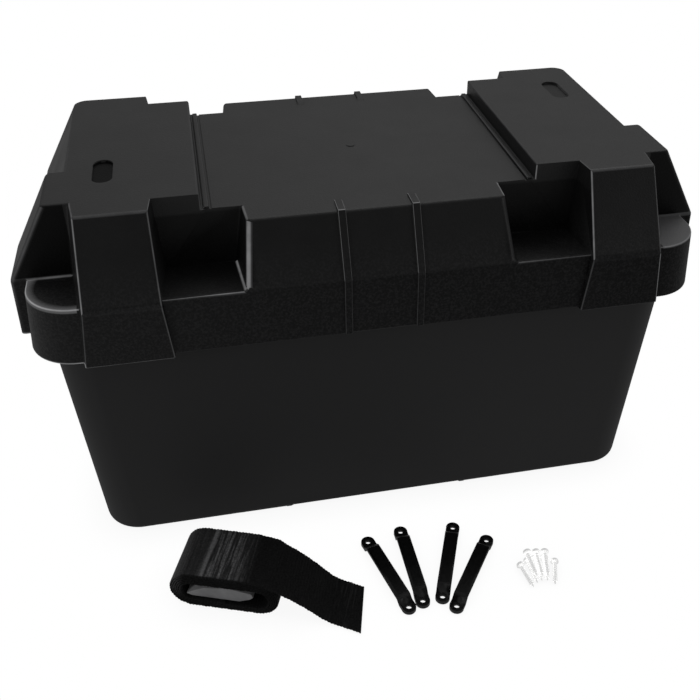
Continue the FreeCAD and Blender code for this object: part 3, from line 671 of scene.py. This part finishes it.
def lid_catch(middle, normal, along, convex):
    """How much painted highlight an edge of the lid gets where it catches the light."""
    x, y, z = middle
    sideways = abs(normal.x) > 0.4
    # back half and lowest part
    if y > 5 or z < 160:
        lit = (normal.z > 0.2 or abs(normal.x) > 0.5) and normal.z > -0.3
        return 0.08 if convex and z > 150 and lit else 0.0
    if not convex:
        return hollow_catch(x, y, z)
    if normal.y > 0.3 or normal.z < -0.80:
        return 0.0
    if abs(along.z) > 0.7 and normal.y < -0.3:
        upright = upright_catch(x, z, normal)
        if upright is not None:
            return upright
    # ledge, from its two ends inwards
    if abs(z - LEDGE_Z) < 1.5 and normal.z > 0.1:
        if x < -83:
            return 1.15 if x < -181 else 0.8
        if x > 83:
            return 0.5 if x > 183 else 0.3
        return 0.0
    # lower hem
    if z < 172 and normal.y < 0:
        if x < -183:
            return 1.0
        return 0.5 if x < -125 and z < 168 else 0.12
    # front of the top
    if z > 250 and y < -60:
        if y < -90:
            return 0.15
        return 0.4 if sideways else 0.02
    # step below the top
    if abs(z - STEP_Z) < 2 and y < -78:
        if abs(abs(x) - MIDDLE_X) < 4:
            return 0.9
        if not sideways:
            return 0.0
        return 0.8 if x > 0 else 0.5
    return 0.12 if abs(abs(x) - 102) < 5 and z > 244 else 0.02


def lid_keep(middle, length, normal):
    """Inside, pocket rims, the mark at the top's centre and small arcs stay crisp."""
    x, y, z = middle
    inside = normal.z < -0.002 and z > 172
    low_side = z < 170 and abs(x) > 212 and y > -90
    pocket = z > 250 and 140 < abs(x) < 178 and abs(y) < 66
    back_corner = z > 240 and abs(x) > 172 and 74 < y < 99 and length < 6
    mark = z > 240 and abs(x) < 9 and abs(y) < 9
    return inside or low_side or pocket or back_corner or mark or length < 1.2


def tub_keep(middle, length, normal):
    """Short edges where the tub's two foot pads rise to its middle stay crisp."""
    return middle[2] < 9 and abs(abs(middle[0]) - 64.5) < 14 and length < 30


def loop_keep_at(place, direction):
    """Test for a loop's hole rims and the short edges at its feet's bends, which stay crisp."""
    size = math.hypot(*direction)
    ux, uy = direction[0] / size, direction[1] / size
    hole_reach, bend_reach = 31.75, 26.5    # from the loop's middle

    def keep(middle, length, normal):
        dx, dy = middle[0] - place[0], middle[1] - place[1]
        reach, side = abs(dx * ux + dy * uy), dy * ux - dx * uy
        return math.hypot(reach - hole_reach, side) < 2.8 or abs(reach - bend_reach) < 3.5

    return keep


rounded("lid_shell", "lid_cover", 1.6 * MM, segments=3, angle=22.0, corner=3.4 * MM,
        catch=lid_catch, keep=lid_keep)
rounded("base_tub", "tub_body", 1.1 * MM, keep=tub_keep)

# middle of each tie-down loop (x, y) and the direction it lies along
LOOPS = (((-8.6, -169.1), (15.3, -60.7)),
         ((9.1, -165.1), (0.8, -65.5)),
         ((35.1, -166.6), (-23.8, -59.8)),
         ((48.9, -179.7), (-35.1, -49.6)))
for number, (place, direction) in enumerate(LOOPS, 1):
    rounded(f"tie_down_loop_{number}", f"loop_moulding_{number}", 0.6 * MM,
            keep=loop_keep_at(place, direction))

# node, new name, bevel width in mm
SMALL_PARTS = (("strap_buckle", "ladder_buckle", 0.55),
               ("battery_case", "battery_container", 0.8),
               ("battery_cover", "battery_lid", 0.9),
               ("vent_cap_left", "gang_vent_left", 0.7),
               ("vent_cap_right", "gang_vent_right", 0.7),
               ("positive_terminal", "positive_lead_post", 0.5),
               ("negative_terminal", "negative_lead_post", 0.5),
               ("positive_wing_nut", "positive_wing", 0.45),
               ("negative_wing_nut", "negative_wing", 0.45))
for node_name, part_name, part_width in SMALL_PARTS:
    rounded(node_name, part_name, part_width * MM, angle=28.0, clamp=True)

# ------------------------------------------------------------------ rolled webbing
WEB_WIDTH = 38.1
WEB_THICK = 1.25
PITCH = 1.38            # from one wrap to the next
WRAPS = 6
ROLL_RADIUS = 15.5
ROLL_HALF = 22.0        # half the length of the flat part of the roll
SPLAY = 3.5             # how far the loose roll fans out towards its open front side
FRONT_DROP = 0.045      # share of its height that the fanned-out side loses
STEP = 0.36             # between cross-sections
COLUMNS = 14            # across the strap
RIB = 2.2               # pitch of the transverse ribs

# Free end: along at the back and front edge, z, across at the back and front edge,
# share of the splay
TAIL = (
    (7.0, 7.0, 30.4, 19.05, -19.05, 1), (15.0, 15.0, 30.1, 19.05, -19.05, 1),
    (24.0, 24.5, 28.0, 18.9, -19.2, 0.95), (32.5, 33.5, 24.6, 18.6, -19.4, 0.85),
    (43.0, 45.0, 18.6, 18.0, -20.0, 0.7), (54.0, 56.5, 11.0, 16.9, -20.9, 0.5),
    (60.5, 63.4, 6.0, 16.0, -21.8, 0.35), (66.0, 69.4, 2.6, 15.0, -22.6, 0.25),
    (72.0, 75.8, 1.0, 13.9, -23.7, 0.12), (79.0, 83.0, 0.75, 12.5, -25.3, 0.05),
    (88.0, 92.3, 0.8, 10.2, -27.7, 0),
)


def roll_point(along, across, z):
    return (Vector(ROLL_CENTRE) + ALONG * along + ACROSS * across + Vector((0, 0, z))) * MM


def wound_path():
    """Centre line of the roll from its inner end, as (along, z, outward normal's along and z,
    turn)."""
    points = []

    def straight(start, end, z, normal_z, turn):
        count = max(2, int(abs(end - start) / STEP))
        for i in range(count):
            t = i / count
            points.append((start + (end - start) * t, z, 0.0, normal_z, turn + t))

    def bend(centre, centre_z, radius, first, last, turn):
        count = max(4, int(abs(math.radians(last - first)) * radius / STEP))
        for i in range(count):
            angle = math.radians(first + (last - first) * i / count)
            cos, sin = math.cos(angle), math.sin(angle)
            points.append((centre + radius * cos, centre_z + radius * sin, cos, sin,
                           turn + i / count))

    for wrap in range(1, WRAPS + 1):
        radius = ROLL_RADIUS - WEB_THICK - (WRAPS - wrap) * PITCH + WEB_THICK / 2
        straight(0.0, -ROLL_HALF, ROLL_RADIUS - radius, -1.0, wrap)
        bend(-ROLL_HALF, ROLL_RADIUS, radius, 270, 90, wrap + 0.2)
        if wrap < WRAPS:
            # the right bend is half a pitch wider, which leads on to the next wrap
            wider, centre_z = radius + PITCH / 2, ROLL_RADIUS - PITCH / 2
            straight(-ROLL_HALF, ROLL_HALF, ROLL_RADIUS + radius, 1.0, wrap + 0.4)
            bend(ROLL_HALF, centre_z, wider, 90, -90, wrap + 0.6)
            straight(ROLL_HALF, 0.0, centre_z - wider, -1.0, wrap + 0.8)
        else:
            straight(-ROLL_HALF, TAIL[0][0], ROLL_RADIUS + radius, 1.0, wrap + 0.4)
    return points


def wound_sections():
    """(back edge, front edge, normal) along the roll; inner wraps are a little shifted."""
    sections = []
    for along, z, normal_along, normal_z, turn in wound_path():
        inner = WRAPS - min(turn, WRAPS)
        back = roll_point(along, WEB_WIDTH / 2 - inner * 0.6, z)
        front = roll_point(along, -WEB_WIDTH / 2 - SPLAY - inner * 0.25, z * (1 - FRONT_DROP))
        sections.append((back, front, ALONG * normal_along + Vector((0, 0, normal_z))))
    return sections


def catmull(p0, p1, p2, p3, t):
    return 0.5 * ((2 * p1) + (p2 - p0) * t + (2 * p0 - 5 * p1 + 4 * p2 - p3) * t * t
                  + (3 * p1 - p0 - 3 * p2 + p3) * t ** 3)


def tail_sections():
    """(back edge, front edge, normal) along the free end."""
    backs = [roll_point(along, across, z) for along, _, z, across, _, _ in TAIL]
    fronts = [roll_point(along, across - SPLAY * share, z * (1 - FRONT_DROP * share))
              for _, along, z, _, across, share in TAIL]
    last = len(TAIL) - 1
    edges = []
    for i in range(last):
        count = max(3, int((backs[i + 1] - backs[i]).length / MM / STEP))
        around = (max(i - 1, 0), i, i + 1, min(i + 2, last))
        for j in range(count + (i == last - 1)):
            edges.append([catmull(*[side[k] for k in around], j / count)
                          for side in (backs, fronts)])
    sections = []
    for i, (back, front) in enumerate(edges):
        before, after = edges[max(i - 1, 0)], edges[min(i + 1, len(edges) - 1)]
        along = ((after[0] + after[1]) - (before[0] + before[1])).normalized()
        normal = along.cross(back - front).normalized()
        sections.append((back, front, -normal if normal.z < 0 else normal))
    return sections


def webbing():
    """Woven strap with transverse ribs on both faces and soft, slightly wandering selvedges."""
    sections = wound_sections() + tail_sections()
    run = [0.0]         # running length, mm
    for (back0, front0, _), (back1, front1, _) in zip(sections, sections[1:]):
        run.append(run[-1] + (((back1 + front1) - (back0 + front0)) / 2).length / MM)
    # one face from front to back edge: place across, share of the thickness
    profile = [(0.0, 0.25), (0.006, 0.62), (0.02, 0.98)]
    profile += [(0.02 + 0.96 * column / COLUMNS, 1.0) for column in range(1, COLUMNS)]
    profile += [(0.98, 0.98), (0.994, 0.62), (1.0, 0.25)]
    ring = 2 * len(profile)
    verts = []
    for (back, front, normal), length in zip(sections, run):
        phase = 2 * math.pi * length / RIB
        wander = 0.5 + 0.5 * math.sin(length * 0.37) * math.cos(length * 0.113 + 1.0)
        half_thick = WEB_THICK / 2 * (0.80 + 0.20 * math.cos(phase))
        half_thick += 0.05 * math.cos(phase / 2 + 0.6) * wander
        if length >= run[-1] - 0.8:
            half_thick *= 0.7       # thinner at the cut end
        edge = 0.16 * math.cos(phase) + 0.18 * math.sin(length * 0.9) * math.sin(length * 0.21)
        shift = math.pi if int(length / RIB) % 2 else 0.0
        across = (back - front).normalized()
        for side, points in ((1, profile), (-1, profile[::-1])):
            for u, share in points:
                out = (1 if u > 0.5 else -1) * edge * max(0.0, 1 - min(u, 1 - u) * 12)
                weave = 0.035 * math.sin(u * 150.0 + shift) * share
                verts.append(front.lerp(back, u) + across * out * MM
                             + normal * side * (half_thick * share + weave) * MM)
    faces = []
    last = (len(sections) - 1) * ring
    for row in range(0, last, ring):
        for j in range(ring):
            a, b = row + j, row + (j + 1) % ring
            faces.append((a, b, b + ring, a + ring))
    faces.append(tuple(range(ring - 1, -1, -1)))
    faces.append(tuple(range(last, last + ring)))

    mesh = bpy.data.meshes.new("strap_rolled")
    mesh.from_pydata([tuple(vert) for vert in verts], [], faces)
    # lift whatever dips below the floor
    sink = min(0.0, min(vert.co.z for vert in mesh.vertices))
    for vert in mesh.vertices:
        vert.co.z -= sink
    mesh.validate()
    for face in mesh.polygons:
        face.use_smooth = True
    lengths = [length for length in run for _ in range(ring)]
    mesh.attributes.new("run", "FLOAT", "POINT").data.foreach_set("value", lengths)
    bm = bmesh.new()
    bm.from_mesh(mesh)
    bmesh.ops.recalc_face_normals(bm, faces=bm.faces)
    bm.to_mesh(mesh)
    bm.free()
    obj = bpy.data.objects.new("strap_rolled", mesh)
    scene.collection.objects.link(obj)
    return obj


strap = webbing()
strap.data.materials.append(MATERIALS["web"])
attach(strap, "strap")
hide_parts("strap_webbing")


# ------------------------------------------------------------------ stage
def floor_material():
    """White to the camera with a faint painted contact shadow near the object, dim to the
    object's mirror rays and dimmer to its other rays.
    """
    bounce, sheen = 0.22, 0.32
    mat = Material("floor_white")
    rays = mat.node("ShaderNodeLightPath").outputs
    contact = mat.node("ShaderNodeAmbientOcclusion", samples=8)
    contact.inputs["Distance"].default_value = 0.03
    # painted shadow: the floor's white dims where the object stands close
    painted_shadow = mat.ramp(contact.outputs["AO"], start=0.35, end=0.95, low=0.93)

    def shader(kind, *values):
        made = mat.node(kind)
        for socket, value in zip(made.inputs, values):
            mat.put(socket, value)
        return made.outputs[0]

    white = (1, 1, 1, 1)
    seen = shader("ShaderNodeEmission", white, painted_shadow)
    matt = shader("ShaderNodeBsdfDiffuse", (bounce, bounce, bounce, 1))
    mirrored = shader("ShaderNodeEmission", white, sheen)
    unseen = shader("ShaderNodeMixShader", rays["Is Glossy Ray"], matt, mirrored)
    full = shader("ShaderNodeMixShader", rays["Is Camera Ray"], unseen, seen)
    mat.link(full, mat.out.inputs[0])
    return mat.data


def studio_world():
    """White to the camera; to the object a tent, bright above and behind, dim elsewhere."""
    strength, least, front_share = 0.53, 0.037, 0.22
    world = bpy.data.worlds.new("studio")
    scene.world = world
    world.use_nodes = True
    graph = Graph(world.node_tree)
    background = graph.tree.nodes["Background"]
    background.inputs[0].default_value = (1, 1, 1, 1)
    x, y, z = graph.split(graph.node("ShaderNodeTexCoord").outputs["Generated"])
    up = graph.ramp(z, start=-0.05, end=0.75, kind="SMOOTHSTEP")
    back = graph.ramp(graph.plus(y, graph.times(x, 0.25)), start=-0.55, end=0.85,
                      low=front_share, kind="SMOOTHSTEP")
    sky = graph.plus(graph.times(up, back, strength), least)
    rays = graph.node("ShaderNodeLightPath").outputs
    choice = graph.node("ShaderNodeMix", data_type="FLOAT")
    graph.put(choice.inputs[0], rays["Is Camera Ray"])
    graph.put(choice.inputs[2], sky)
    graph.put(choice.inputs[3], 1.0)
    graph.link(choice.outputs[0], background.inputs[1])


def area_light(name, place, target, width, height, energy):
    light = bpy.data.lights.new(name, "AREA")
    light.energy = energy
    light.shape = "RECTANGLE"
    light.size = width
    light.size_y = height
    obj = bpy.data.objects.new(name, light)
    scene.collection.objects.link(obj)
    obj.location = place
    obj.rotation_euler = (Vector(target) - Vector(place)).to_track_quat("-Z", "Y").to_euler()


bpy.ops.mesh.primitive_plane_add(size=8, location=(0, 0, -0.0006))
floor = bpy.context.object
floor.name = "floor"
floor.data.materials.append(floor_material())
studio_world()
area_light("key", (0.5, 0.8, 1.5), (0, 0, 0.2), width=1.2, height=0.8, energy=2.2)
area_light("glint_left", (-1.5, -0.8, 0.55), (0, 0, 0.15), width=0.18, height=0.5, energy=2.0)
area_light("glint_right", (1.5, -0.9, 0.5), (0, 0, 0.15), width=0.18, height=0.5, energy=1.2)

lens = bpy.data.cameras.new("camera")
lens.lens = 47.48
lens.sensor_width = 36.0
lens.shift_x = -0.0352
lens.shift_y = 0.0018
lens.clip_start = 0.01
camera = bpy.data.objects.new("camera", lens)
scene.collection.objects.link(camera)
camera.location = (-0.10376, -0.58706, 0.49921)
camera.rotation_euler = (math.radians(54.30), 0, math.radians(-11.62))
scene.camera = camera
scene.view_settings.view_transform = "Standard"
